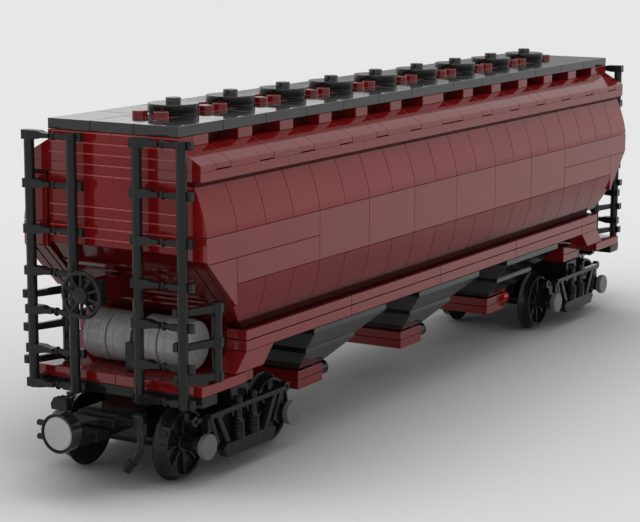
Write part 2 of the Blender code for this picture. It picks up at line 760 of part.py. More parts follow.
def make_bogie(end):
    x = station(end, BOGIE_STATION)
    outward = ENDS[end]
    pivot = (x, 0, FRAME_TOP)
    plate = block(
        (x - FRAME_HALF_LENGTH, x + FRAME_HALF_LENGTH),
        (-FRAME_HALF_WIDTH, FRAME_HALF_WIDTH),
        (FRAME_BOTTOM, FRAME_TOP),
    )
    beam_top = drop(BOLSTER_BOTTOM) - GAP
    beam = block(
        (x - CROSS_BEAM_HALF_LENGTH, x + CROSS_BEAM_HALF_LENGTH),
        (-CROSS_BEAM_REACH, CROSS_BEAM_REACH),
        (FRAME_BOTTOM, beam_top),
    )
    tongue_end = station(end, -TONGUE_END)
    tongue = block(
        (x + outward * FRAME_HALF_LENGTH / 2, tongue_end),
        (-TONGUE_HALF_WIDTH, TONGUE_HALF_WIDTH),
        (FRAME_BOTTOM, FRAME_TOP),
    )
    hose_side = outward
    hose_bar = block(
        (station(end, HOSE_STATION), station(end, -6.5 * MM)),
        (hose_side * (TONGUE_HALF_WIDTH - MM), hose_side * 15.6 * MM),
        (FRAME_BOTTOM + 1.2 * MM, FRAME_TOP),
    )
    pin_bore = rod("Z", (x, 0), KING_PIN_RADIUS + GAP, FRAME_BOTTOM - MM, beam_top + MM)
    pivot_x = station(end, -COUPLER_PIVOT)
    coupler_bore = rod("Z", (pivot_x, 0), PIVOT_PIN_RADIUS + GAP, FRAME_BOTTOM - MM, FRAME_TOP + MM)
    frame = finish(
        f"bogie_frame_{end}", [plate, beam, tongue, hose_bar], DARK, cuts=[pin_bore, coupler_bore]
    )
    move_origin(frame, pivot)
    for side in SIDES:
        make_side_frame(end, side, x)
    for place, sign in (("outer", 1), ("inner", -1)):
        centre = (x + sign * outward * AXLE_SPREAD, 0, FLANGE_RADIUS)
        wheels = turned(wheelset_profile(), WHEEL_STEPS, Matrix.Translation(centre) @ AXIS_TURNS["Y"])
        finish(f"wheelset_{end}_{place}", [wheels], DARK, smooth=True)
    make_coupler(end)
    make_hose(end)


def make_coupler(end):
    face = station(end, -COUPLER_FACE)
    outward = ENDS[end]
    pivot_x = station(end, -COUPLER_PIVOT)
    ring_back = face - outward * RING_LENGTH
    arm = block(
        (pivot_x - outward * 3 * MM, ring_back + outward * MM),
        (-ARM_HALF_WIDTH, ARM_HALF_WIDTH),
        (ARM_BOTTOM, ARM_TOP),
    )
    centre = (0, COUPLER_HEIGHT)
    ring = rod("X", centre, RING_RADIUS, ring_back, face, 24)
    pin = rod("Z", (pivot_x, 0), PIVOT_PIN_RADIUS, ARM_TOP - MM, FRAME_TOP, 12)
    lug_side = -outward
    lugs = [
        rod(
            "Y", (face - outward * 1.6 * MM, COUPLER_HEIGHT + lift), LUG_RADIUS,
            lug_side * (RING_RADIUS - 1.5 * MM), lug_side * (RING_RADIUS + LUG_LENGTH), 8,
        )
        for lift in (-2.1 * MM, 2.1 * MM)
    ]
    pocket = rod(
        "X", centre, MAGNET_RADIUS + GAP, face + outward * MM, face - outward * (MAGNET_LENGTH + GAP), 24
    )
    coupler = finish(f"coupler_arm_{end}", [arm, ring, pin, *lugs], DARK, cuts=[pocket])
    move_origin(coupler, (pivot_x, 0, ARM_TOP))
    magnet = rod("X", centre, MAGNET_RADIUS, face, face - outward * MAGNET_LENGTH, 24)
    finish(f"coupler_magnet_{end}", [magnet], STEEL)


def make_hose(end):
    """A stiff moulded brake hose, from under the frame's cross bar down to its free end."""
    outward = ENDS[end]
    side = outward
    route = [(14.4, 20.1), (14.9, 18.5), (15.6, 16.2), (15.4, 13.4), (14.2, 10.8), (12.6, 8.6), (10.9, 6.8)]
    points = [Vector((y * MM, z * MM)) for y, z in route]
    curve = bpy.data.curves.new("hose", "CURVE")
    curve.dimensions = "3D"
    curve.bevel_depth = HOSE_RADIUS
    curve.bevel_resolution = 2
    curve.use_fill_caps = True
    spline = curve.splines.new("POLY")
    spline.points.add(len(points) - 1)
    x = station(end, HOSE_STATION + 1.6 * MM)
    for point, (y, z) in zip(spline.points, points):
        point.co = (x, side * y, z, 1)
    hose = solid_of_curve(curve, Matrix.Identity(4))
    finish(f"brake_hose_{end}", [hose], DARK, smooth=True)


def main():
    make_roof()
    make_hatches()
    for side in SIDES:
        make_roof_edge(side)
        make_side(side)
        make_sill(side)
    make_core()
    make_floor()
    make_bays()
    for end in ENDS:
        make_end(end)
        for side in SIDES:
            make_ladder(end, side)
        make_bogie(end)
    make_brake_gear()


main()
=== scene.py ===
import math
import random

import bmesh
import bpy
from mathutils import Matrix, Vector


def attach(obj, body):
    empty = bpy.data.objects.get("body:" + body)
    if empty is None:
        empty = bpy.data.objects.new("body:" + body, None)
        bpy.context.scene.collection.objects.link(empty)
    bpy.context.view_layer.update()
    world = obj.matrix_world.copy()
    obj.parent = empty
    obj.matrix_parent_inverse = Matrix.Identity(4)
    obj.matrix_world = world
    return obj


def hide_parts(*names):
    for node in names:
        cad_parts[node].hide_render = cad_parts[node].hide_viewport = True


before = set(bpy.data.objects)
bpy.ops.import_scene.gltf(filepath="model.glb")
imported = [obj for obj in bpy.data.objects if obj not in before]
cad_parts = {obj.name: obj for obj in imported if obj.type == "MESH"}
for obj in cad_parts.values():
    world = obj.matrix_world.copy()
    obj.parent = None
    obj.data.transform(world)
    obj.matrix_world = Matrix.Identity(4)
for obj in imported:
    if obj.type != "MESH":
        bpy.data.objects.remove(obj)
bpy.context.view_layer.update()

MM = 0.001
ROOT = "car_body"
random.seed(4)

# Sizes are in millimetres. X runs along the car from its middle, and Z is up from the wheels' lowest point.
HALF = 160.0  # half the length of the body
FRONT = -HALF
PITCH = 8  # from one stud to the next
PLATE = 3.2  # the thickness of one plate
STUD_RADIUS, STUD_TALL = 2.4, 1.7
SEAM = 0.06  # half the gap between two bricks

DECK = 109.2  # top of the roof deck
DECK_EDGE = 24  # half its width
EAVE_LOW = 93.2  # underside of the eaves
EAVE_EDGE = 32.0
EAVE_GAP = 1.35  # from the eaves down to the upper panels
BAND_TOP, BAND_LOW = 77.2, 61.2  # the flat band along the sides
WAIST = 34.0  # half the width there
PANEL_BACK = 25
BULGE = 0.078  # how strongly the curved panels turn in, away from the band
FOOT = 47.2  # lower edge of the lower panels
SILL_TOP, SILL_JOIN, SILL_LOW = 45.2, 42.0, 38.6
SILL_BACK, SILL_EDGE = 24.6, 32
END_LINE = 70.0  # where the ends start to slope in
PLATFORM = 32.4  # top of the end platforms

BOGIE_X, AXLE_OFFSET, AXLE_Z = -128.0, 24, 12.0
WHEEL_BACK, RIM_FACE, HUB_FACE = 15.9, 20.6, 20.0  # how far out from the car's middle
COUPLER_Z = 20.5
COUPLER_FACE, COUPLER_BACK = -188.4, -184.2
HOSE_X = -168.4

# Places along the body, counted from its front end
PANEL = 16
HATCHES = [32 * (k + 1) - HALF for k in range(9)]
DECK_SEAMS = [0, 24, 48, 72, 96, 120, 144, 176, 200, 224, 248, 272, 296, 320]
BAND_SEAMS = [64, 96, 128, 160, 192, 224, 256]
EAVE_SEAMS = [0, 24, 48, 96, 112, 160, 208, 224, 272, 296, 320]
RIBS = [8, 32, 56, 80, 104, 128, 232, 256, 280, 304, 184, 208]

SIDES = (("right", -1), ("left", 1))
ENDS = (("front", 1), ("rear", -1))

# The camera, placed by the brick grid that the photo shows: metres, radians, and millimetres for the lens
CAMERA_PLACE = (-0.618305, -0.345974, 0.171115)
CAMERA_HEADING, CAMERA_DOWN, CAMERA_ROLL = 0.538414, 0.179289, 0.003108
CAMERA_LENS, CAMERA_SENSOR = 108.815, 36

# The key light: its place and target in metres, its width in metres, and its power in watts
KEY_PLACE, KEY_TARGET = (-0.9, 0.6, 1.4), (0, 0, 0.05)
KEY_SIZE, KEY_POWER = 0.7, 0.6
# How bright the studio is, by the height looked at, from level to straight up
SKY_TONES = [(0.0, 0.3), (0.094, 0.3), (0.097, 1.0), (0.3, 0.8), (0.45, 0.6), (0.75, 0.72), (1.0, 1.7)]
# On the -Y side no height counts as less than BRIGHT_HEIGHT, which keeps that side bright down to the floor
BRIGHT_HEIGHT, BRIGHT_BLEND = 0.12, 0.05
# Painted shade on the floor: how pale the floor is, by how much of the sky each point of it sees
FLOOR_SHADE_TONES = [(0.3, 0.4), (0.5, 0.47), (0.71, 0.57), (0.8, 0.7), (0.9, 0.78), (0.96, 0.82), (1.0, 0.85)]
FLOOR_HALF = 30  # metres
FLOOR_REACH = 0.6  # how far, in metres, the floor looks for something that hides the sky
FLOOR_ROUGHNESS = 0.9

PLASTIC_IOR = 1.52
# How fine the noise is in a plastic's tone, in its surface and in its gloss, and how deep the surface's is
TONE_SCALE, SURFACE_SCALE, GLOSS_SCALE = 70, 240, 420
SURFACE_DEPTH = 0.0005
SHARP = math.radians(32)  # edges sharper than this are rounded


# ---------------------------------------------------------------- camera, light and floor

def make_camera():
    flat = math.cos(CAMERA_DOWN)
    look = Vector((math.cos(CAMERA_HEADING) * flat, math.sin(CAMERA_HEADING) * flat, -math.sin(CAMERA_DOWN)))
    across = look.cross(Vector((0, 0, 1))).normalized()
    up = across.cross(look)
    right = math.cos(CAMERA_ROLL) * across + math.sin(CAMERA_ROLL) * up
    top = -math.sin(CAMERA_ROLL) * across + math.cos(CAMERA_ROLL) * up
    camera = bpy.data.cameras.new("camera")
    camera.lens = CAMERA_LENS
    camera.sensor_width = CAMERA_SENSOR
    camera.clip_start, camera.clip_end = 0.01, 50
    obj = bpy.data.objects.new("camera", camera)
    turn = Matrix((right, top, -look)).transposed().to_4x4()
    obj.matrix_world = Matrix.Translation(CAMERA_PLACE) @ turn
    bpy.context.scene.collection.objects.link(obj)
    bpy.context.scene.camera = obj


def map_range(nodes, links, source, start, end, first, last):
    """Turns start..end of a value into first..last, and holds it there beyond both ends."""
    node = nodes.new("ShaderNodeMapRange")
    links.new(source, node.inputs["Value"])
    for name, value in (("From Min", start), ("From Max", end), ("To Min", first), ("To Max", last)):
        node.inputs[name].default_value = value
    return node.outputs["Result"]


def grey_ramp(nodes, tones):
    """A colour ramp through greys, given as (place, value) pairs."""
    ramp = nodes.new("ShaderNodeValToRGB")
    elements = ramp.color_ramp.elements
    while len(elements) < len(tones):
        elements.new(0.5)
    for element, (place, value) in zip(elements, tones):
        element.position = place
        element.color = (value, value, value, 1)
    return ramp


def make_world():
    world = bpy.data.worlds.new("studio")
    bpy.context.scene.world = world
    world.use_nodes = True
    nodes, links = world.node_tree.nodes, world.node_tree.links
    back = nodes["Background"]
    coord = nodes.new("ShaderNodeTexCoord")
    split = nodes.new("ShaderNodeSeparateXYZ")
    links.new(coord.outputs["Generated"], split.inputs[0])
    least = map_range(nodes, links, split.outputs["Y"], -BRIGHT_BLEND, BRIGHT_BLEND, BRIGHT_HEIGHT, 0.0)
    height = nodes.new("ShaderNodeMath")
    height.operation = "MAXIMUM"
    links.new(split.outputs["Z"], height.inputs[0])
    links.new(least, height.inputs[1])
    ramp = grey_ramp(nodes, SKY_TONES)
    links.new(height.outputs[0], ramp.inputs[0])
    links.new(ramp.outputs[0], back.inputs["Color"])
    back.inputs["Strength"].default_value = 1.0


def make_light(name, place, target, size, power):
    light = bpy.data.lights.new(name, "AREA")
    light.shape = "DISK"
    light.size = size
    light.energy = power
    obj = bpy.data.objects.new(name, light)
    place = Vector(place)
    obj.location = place
    obj.rotation_euler = (Vector(target) - place).to_track_quat("-Z", "Y").to_euler()
    bpy.context.scene.collection.objects.link(obj)


def make_floor():
    work = bmesh.new()
    bmesh.ops.create_grid(work, x_segments=1, y_segments=1, size=FLOOR_HALF)
    mesh = bpy.data.meshes.new("floor")
    work.to_mesh(mesh)
    work.free()
    obj = bpy.data.objects.new("floor", mesh)
    bpy.context.scene.collection.objects.link(obj)
    material = bpy.data.materials.new("floor")
    material.use_nodes = True
    nodes, links = material.node_tree.nodes, material.node_tree.links
    shader = nodes["Principled BSDF"]
    shader.inputs["Roughness"].default_value = FLOOR_ROUGHNESS
    shader.inputs["Specular IOR Level"].default_value = 0.0
    # the floor's colour is painted shade, darker where something hides the sky from it
    shade = nodes.new("ShaderNodeAmbientOcclusion")
    shade.samples = 8
    shade.inputs["Distance"].default_value = FLOOR_REACH
    ramp = grey_ramp(nodes, FLOOR_SHADE_TONES)
    links.new(shade.outputs["AO"], ramp.inputs[0])
    links.new(ramp.outputs[0], shader.inputs["Base Color"])
    mesh.materials.append(material)


# ---------------------------------------------------------------- materials

def paint_foot_shade(nodes, links, coord, shader, tint, low, high, least):
    """Painted shade at the foot of a curved panel: its colour is full above high and falls to least of it at
    low.
    """
    split = nodes.new("ShaderNodeSeparateXYZ")
    links.new(coord.outputs["Object"], split.inputs[0])
    scaled = nodes.new("ShaderNodeVectorMath")
    scaled.operation = "SCALE"
    links.new(tint, scaled.inputs[0])
    links.new(map_range(nodes, links, split.outputs["Z"], low, high, least, 1.0), scaled.inputs["Scale"])
    links.new(scaled.outputs[0], shader.inputs["Base Color"])


def plastic(name, colour, rough=(0.05, 0.11), grain=0.015, tone=0.07, shine=0.5, shade_at_foot=None):
    """Moulded plastic, whose tone drifts a little within and between bricks, and whose gloss is uneven."""
    material = bpy.data.materials.new(name)
    material.use_nodes = True
    nodes, links = material.node_tree.nodes, material.node_tree.links
    shader = nodes["Principled BSDF"]
    shader.inputs["IOR"].default_value = PLASTIC_IOR
    shader.inputs["Specular IOR Level"].default_value = shine
    coord = nodes.new("ShaderNodeTexCoord")
    info = nodes.new("ShaderNodeNewGeometry")

    def noise(scale, detail):
        node = nodes.new("ShaderNodeTexNoise")
        node.inputs["Scale"].default_value = scale
        node.inputs["Detail"].default_value = detail
        links.new(coord.outputs["Object"], node.inputs["Vector"])
        return node.outputs["Fac"]

    drift = nodes.new("ShaderNodeMath")
    drift.operation = "MULTIPLY_ADD"
    links.new(info.outputs["Random Per Island"], drift.inputs[0])
    drift.inputs[1].default_value = 0.5
    links.new(noise(TONE_SCALE, 2), drift.inputs[2])
    ramp = nodes.new("ShaderNodeValToRGB")
    links.new(drift.outputs[0], ramp.inputs[0])
    low, high = ramp.color_ramp.elements
    low.position, high.position = 0.25, 1.0
    low.color = (*[c * (1 - tone) for c in colour], 1)
    high.color = (*[c * (1 + tone) for c in colour], 1)
    # painted shade: the colour grows darker towards the panel's foot
    if shade_at_foot:
        paint_foot_shade(nodes, links, coord, shader, ramp.outputs[0], *shade_at_foot)
    else:
        links.new(ramp.outputs[0], shader.inputs["Base Color"])
    gloss = map_range(nodes, links, noise(GLOSS_SCALE, 4), 0.3, 0.7, *rough)
    links.new(gloss, shader.inputs["Roughness"])
    bump = nodes.new("ShaderNodeBump")
    bump.inputs["Strength"].default_value = grain
    bump.inputs["Distance"].default_value = SURFACE_DEPTH
    links.new(noise(SURFACE_SCALE, 3), bump.inputs["Height"])
    links.new(bump.outputs["Normal"], shader.inputs["Normal"])
    return material


# The reds are one plastic, toned and polished as the photo shows each run of bricks: their differences in
# tone are painted light and shade, lit and shaded copies of the one red
RED = plastic("dark_red_plastic", (0.165, 0.0062, 0.0065))
END_RED = plastic("end_red_plastic", (0.172, 0.0062, 0.0065), shine=0.24)
HIGH_RED = plastic("upper_red_plastic", (0.178, 0.0062, 0.0065), shine=0.3)
# the lower panels are a darker red as painted shade, with more painted shade at their foot
SHADED_LOW_RED = plastic("lower_red_painted_shade", (0.138, 0.0062, 0.0065), shine=0.16, shade_at_foot=(0.0474, 0.0506, 0.12))
# a near-black red for strips that stand in for shadow: painted shadow
PAINTED_SHADOW_RED = plastic("painted_shadow_plastic", (0.042, 0.0016, 0.0016), rough=(0.4, 0.5), shine=0.05)
# a darker red for the end slopes and the bricks beside them: painted shade
SHADED_SLOPE_RED = plastic("slope_red_painted_shade", (0.078, 0.0034, 0.0036), shine=0.26)
# a pale red for thin strips along brick edges: painted highlight
HIGHLIGHT_RED = plastic("painted_highlight_plastic", (0.36, 0.055, 0.05), rough=(0.2, 0.3))
# a darker red for parts seen only in recesses and gaps: painted shade
PAINTED_SHADE_RED = plastic("inner_red_painted_shade", (0.09, 0.003, 0.003), rough=(0.3, 0.4))
DECK_BLACK = plastic("deck_black_plastic", (0.0105, 0.011, 0.011), rough=(0.03, 0.07), tone=0.15)
BLACK = plastic("black_plastic", (0.0095, 0.0102, 0.0102), tone=0.15, shine=0.22)
GREY = plastic("grey_plastic", (0.29, 0.29, 0.3), rough=(0.1, 0.2), grain=0.03)
CAP_GREY = plastic("cap_plastic", (0.115, 0.115, 0.117), rough=(0.25, 0.35), shine=0.3)
MAGNET = plastic("magnet_metal", (0.34, 0.345, 0.328), rough=(0.38, 0.5), grain=0.08, tone=0.05)
BRIGHT_RED = plastic("latch_plastic", (0.4, 0.01, 0.012))


# ---------------------------------------------------------------- shapes

TURNS = {
    "X": lambda u, v, w: (w, u, v),
    "Y": lambda u, v, w: (u, w, v),
    "Z": lambda u, v, w: (u, v, w),
}


LEAST_RADIUS = 0.01  # a turned solid ends in a tiny flat, not in a point


class Kit:
    """
    Gathers closed shapes, in millimetres, into one mesh.

    turn = -1 puts them half a turn round the car's middle, and mirror = -1 on its other side.
    """

    def __init__(self, turn=1, mirror=1):
        self.work = bmesh.new()
        self.scale = (turn, turn * mirror)

    def point(self, place):
        x, y, z = place
        return self.work.verts.new((x * self.scale[0] * MM, y * self.scale[1] * MM, z * MM))

    def loft(self, rings):
        """A closed solid through rings of equal numbers of points."""
        made = [[self.point(p) for p in ring] for ring in rings]
        self.work.faces.new(made[0])
        self.work.faces.new(list(reversed(made[-1])))
        for upper, lower in zip(made, made[1:]):
            count = len(upper)
            for k in range(count):
                n = (k + 1) % count
                self.work.faces.new((upper[n], upper[k], lower[k], lower[n]))
        return [v for ring in made for v in ring]

    def prism(self, axis, outline, low, high):
        turn = TURNS[axis]
        return self.loft([[turn(u, v, w) for u, v in outline] for w in (low, high)])

    def box(self, x, y, z):
        (a, b), (c, d) = x, y
        return self.prism("Z", [(a, c), (b, c), (b, d), (a, d)], *z)

    def lathe(self, axis, centre, profile, sides=28):
        """A turned solid. profile holds (radius, place along the axis) from end to end."""
        turn = TURNS[axis]
        rings = []
        for radius, w in profile:
            radius = max(radius, LEAST_RADIUS)
            angles = [math.tau * (k + 0.5) / sides for k in range(sides)]
            rings.append(
                [turn(centre[0] + radius * math.cos(a), centre[1] + radius * math.sin(a), w) for a in angles]
            )
        return self.loft(rings)

    def rod(self, axis, centre, radius, low, high, sides=24, edge=0.25):
        step = edge if high > low else -edge
        edge = min(edge, radius / 3)
        return self.lathe(
            axis,
            centre,
            [(radius - edge, low), (radius, low + step), (radius, high - step), (radius - edge, high)],
            sides,
        )

    def ring(self, axis, centre, outer, inner, low, high, sides=32):
        """A flat ring of rectangular section."""
        turn = TURNS[axis]
        rows = []
        for radius, w in ((outer, low), (outer, high), (inner, high), (inner, low)):
            angles = [math.tau * (k + 0.5) / sides for k in range(sides)]
            rows.append(
                [
                    self.point(turn(centre[0] + radius * math.cos(a), centre[1] + radius * math.sin(a), w))
                    for a in angles
                ]
            )
        for r in range(4):
            first, second = rows[r], rows[(r + 1) % 4]
            for k in range(sides):
                n = (k + 1) % sides
                self.work.faces.new((first[k], first[n], second[n], second[k]))

    def torus(self, axis, centre, radius, thickness, w, sides, around):
        turn = TURNS[axis]
        angles = [math.tau * k / sides for k in range(sides)]
        rows = []
        for j in range(around):
            b = math.tau * j / around
            r = radius + thickness * math.cos(b)
            lift = w + thickness * math.sin(b)
            rows.append(
                [
                    self.point(turn(centre[0] + r * math.cos(a), centre[1] + r * math.sin(a), lift))
                    for a in angles
                ]
            )
        for j in range(around):
            first, second = rows[j], rows[(j + 1) % around]
            for k in range(sides):
                n = (k + 1) % sides
                self.work.faces.new((first[k], first[n], second[n], second[k]))

    def tube(self, points, radius, sides=12):
        """A bent rod through points."""
        points = [Vector(p) for p in points]
        angles = [math.tau * j / sides for j in range(sides)]
        rings = []
        for k, point in enumerate(points):
            ahead = points[min(k + 1, len(points) - 1)] - points[max(k - 1, 0)]
            ahead.normalize()
            side = ahead.cross(Vector((1, 0, 0)) if abs(ahead.x) < 0.9 else Vector((0, 0, 1))).normalized()
            other = ahead.cross(side)
            rings.append([point + radius * (math.cos(a) * side + math.sin(a) * other) for a in angles])
        return self.loft(rings)

    def spin(self, verts, axis, centre, angle):
        """Turns points that were just made about an axis through a centre, given in millimetres."""
        middle = Vector((centre[0] * self.scale[0], centre[1] * self.scale[1], centre[2])) * MM
        bmesh.ops.rotate(self.work, verts=verts, cent=middle, matrix=Matrix.Rotation(angle, 3, axis))

    def clip(self, place, normal):
        """Cuts away everything on the normal's side of a plane, and closes the cut."""
        geometry = self.work.verts[:] + self.work.edges[:] + self.work.faces[:]
        cut = bmesh.ops.bisect_plane(
            self.work,
            geom=geometry,
            dist=1e-7,
            plane_co=Vector(place) * MM,
            plane_no=Vector(normal),
            clear_outer=True,
        )
        edges = [e for e in cut["geom_cut"] if isinstance(e, bmesh.types.BMEdge)]
        bmesh.ops.holes_fill(self.work, edges=edges, sides=0)


def finish(kit, name, body, material, nodes=(), bevel=0.22):
    """Makes the gathered shapes one piece on a CAD body. nodes are the CAD nodes it stands for."""
    work = kit.work
    bmesh.ops.recalc_face_normals(work, faces=work.faces)
    mesh = bpy.data.meshes.new(name)
    work.to_mesh(mesh)
    work.free()
    mesh.materials.append(material)
    mesh.shade_smooth()
    mesh.set_sharp_from_angle(angle=SHARP)
    obj = bpy.data.objects.new(name, mesh)
    bpy.context.scene.collection.objects.link(obj)
    if bevel:
        rounded = obj.modifiers.new("rounded", "BEVEL")
        rounded.width = bevel * MM
        rounded.segments = 2
        rounded.limit_method = "ANGLE"
        rounded.angle_limit = SHARP
        rounded.harden_normals = True
    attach(obj, body)
    if nodes:
        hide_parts(*nodes)


def wobble(verts, amount=0.0016):
    """Tilts one brick by a hair, as pressed-together bricks never sit quite true."""
    middle = sum((v.co for v in verts), Vector()) / len(verts)
    turn = Matrix.Rotation(random.uniform(-amount, amount), 3, "Z")
    turn = turn @ Matrix.Rotation(random.uniform(-amount, amount), 3, "X")
    for v in verts:
        v.co = turn @ (v.co - middle) + middle


def span(a, b, gap=SEAM):
    """The stretch between two places counted from the body's front end, less a gap at each end."""
    return a - HALF + gap, b - HALF - gap


# ---------------------------------------------------------------- roof

# Half the section of a hatch lid: radius, and height above the deck
LID = [(7.6, 0.02), (7.7, 0.1), (7.7, 0.4), (7.95, 0.5), (8.0, 0.6), (8.0, 3.08), (7.88, 3.2), (0, 3.2)]


def make_roof():
    low, top = DECK - PLATE, DECK
    middle = (-PITCH + SEAM, PITCH - SEAM)
    kit = Kit()
    for side in (-1, 1):
        for a, b in zip(DECK_SEAMS, DECK_SEAMS[1:]):
            kit.box(span(a, b), (side * (PITCH + SEAM), side * (DECK_EDGE - SEAM)), (low, top))
    for a, b in ((0, 16), (304, 320)):
        kit.box(span(a, b), middle, (low, top))
    for x in HATCHES:
        kit.box((x - PITCH + SEAM, x + PITCH - SEAM), middle, (low, top - 0.1))
    finish(kit, "deck_tiles", ROOT, DECK_BLACK, ["roof_deck"], bevel=0.2)

    kit = Kit()
    stretches = [(16, 24), (296, 304)] + [(40 + 32 * k, 56 + 32 * k) for k in range(8)]
    for a, b in stretches:
        kit.box(span(a, b), middle, (low, top))
        for x in range(a + 4, b, PITCH):
            for y in (-4, 4):
                kit.rod("Z", (x - HALF, y), STUD_RADIUS, top - 0.4, top + STUD_TALL, 28, edge=0.2)
    finish(kit, "stud_plates", ROOT, RED, ["stud_strip"], bevel=0.15)

    for k, x in enumerate(HATCHES):
        kit = Kit()
        kit.lathe("Z", (x, 0), [(radius, top + lift) for radius, lift in LID], 64)
        kit.rod("Z", (x, 0), STUD_RADIUS, top + 3.0, top + PLATE + STUD_TALL, 28, edge=0.15)
        finish(kit, f"hatch_lid_{k + 1}", ROOT, DECK_BLACK, [f"hatch_{k + 1}"], bevel=0)


def make_roof_edges():
    shelf, lip, back = DECK - 2 * PLATE, DECK - 11.0, 15.6
    cells = sorted([(x, x + PITCH) for x in RIBS] + [(152, 168)])
    edges = sorted({0, 320, *[x for cell in cells for x in cell]})
    for name, side in SIDES:
        kit = Kit(mirror=side)
        for a, b in cells:
            kit.box(span(a, b), (17, DECK_EDGE), (shelf, DECK - PLATE - SEAM))
        finish(kit, f"roof_ribs_{name}", ROOT, RED, bevel=0.2)

        kit = Kit(mirror=side)
        for a, b in zip(edges, edges[1:]):
            # the sloped brick under each rib sits a little high, which leaves a dark line below its lip
            lift, gap = (0.35, 0.11) if (a, b) in cells else (0.0, 0.0)
            foot = lip - 1.9 + lift
            outline = [
                (back, shelf + 0.01), (DECK_EDGE - 0.3, shelf + 0.01), (DECK_EDGE + 0.1, shelf - 0.1),
                (EAVE_EDGE - 0.05, lip + 0.1), (EAVE_EDGE, lip - 0.1), (EAVE_EDGE, foot), (back, foot),
            ]
            low, high = span(a, b)
            wobble(kit.prism("X", outline, low, high - gap), 0.0012)
        finish(kit, f"eave_slope_{name}", ROOT, RED, bevel=0.12)

        kit = Kit(mirror=side)
        for a, b in zip(EAVE_SEAMS, EAVE_SEAMS[1:]):
            wobble(kit.box(span(a, b, SEAM / 2), (back, EAVE_EDGE), (EAVE_LOW + 0.1, lip - 1.93)), 0.0005)
        finish(kit, f"eave_plates_{name}", ROOT, RED, [f"roof_edge_{name}"], bevel=0.12)
    # the roof's core, which shows between the ribs, in a darker red that is painted shade
    kit = Kit()
    kit.box((-151.5, 151.5), (-17, 17), (93.6, 105.9))
    finish(kit, "roof_core", ROOT, PAINTED_SHADE_RED, bevel=0.2)


# ---------------------------------------------------------------- sides

def panel_outline(edge, far, steps=9):
    """The section of a curved panel between the flat band's edge and its far edge."""
    rise = far - edge
    face = []
    for k in range(steps + 1):
        reach = rise * k / steps
        face.append((WAIST - BULGE * abs(reach) ** 1.5, edge + reach))
    return face + [(PANEL_BACK + 0.6, far), (PANEL_BACK, far), (PANEL_BACK, edge)]


def make_sides():
    depth = (PANEL_BACK, WAIST)
    middle = BAND_TOP - PITCH
    for name, side in SIDES:
        kit = Kit(mirror=side)
        upper = panel_outline(BAND_TOP + SEAM, EAVE_LOW - EAVE_GAP)
        for k in range(20):
            wobble(kit.prism("X", upper, *span(PANEL * k, PANEL * (k + 1))))
        # a dark strip in the hollow between the upper panels and the eaves, its darkness a painted shadow
        hollow = Kit(mirror=side)
        hollow.box((-HALF + 0.3, HALF - 0.3), (24.8, 29.6), (EAVE_LOW - 1.7, EAVE_LOW + 0.05))
        finish(hollow, f"eave_painted_shadow_{name}", ROOT, PAINTED_SHADOW_RED, bevel=0.05)
        finish(kit, f"upper_panels_{name}", ROOT, HIGH_RED, [f"upper_panel_{name}"], bevel=0.18)

        kit = Kit(mirror=side)
        for a, b in zip(BAND_SEAMS, BAND_SEAMS[1:]):
            wobble(kit.box(span(a, b), depth, (BAND_LOW + SEAM, BAND_TOP - SEAM)))
        for end in (-1, 1):
            far, near, inner = end * (HALF - 64 + SEAM), end * HALF, end * (HALF - PANEL - SEAM)
            wobble(kit.box((far, near), depth, (middle + SEAM, BAND_TOP - SEAM)), 0.001)
            wobble(kit.box((far, inner), depth, (BAND_LOW + SEAM, middle - SEAM)), 0.001)
        clip_ends(kit)
        finish(kit, f"band_tiles_{name}", ROOT, RED, [f"side_band_{name}"], bevel=0.18)

        kit = Kit(mirror=side)
        lower = panel_outline(BAND_LOW - SEAM, FOOT)
        for k in range(1, 19):
            wobble(kit.prism("X", lower, *span(PANEL * k, PANEL * (k + 1))))
        clip_ends(kit)
        finish(kit, f"lower_panels_{name}", ROOT, SHADED_LOW_RED, [f"lower_panel_{name}"], bevel=0.18)

        kit = Kit(mirror=side)
        for end in (-1, 1):
            x = (end * HALF, end * (HALF - PANEL + SEAM))
            kit.box(x, (PANEL_BACK, WAIST - 0.02), (54.4, middle - SEAM))
        clip_ends(kit)
        finish(kit, f"end_wedges_{name}", ROOT, RED, bevel=0.22)


def clip_ends(kit):
    for end in (-1, 1):
        kit.clip((end * HALF, 0, END_LINE), (end, 0, -1))


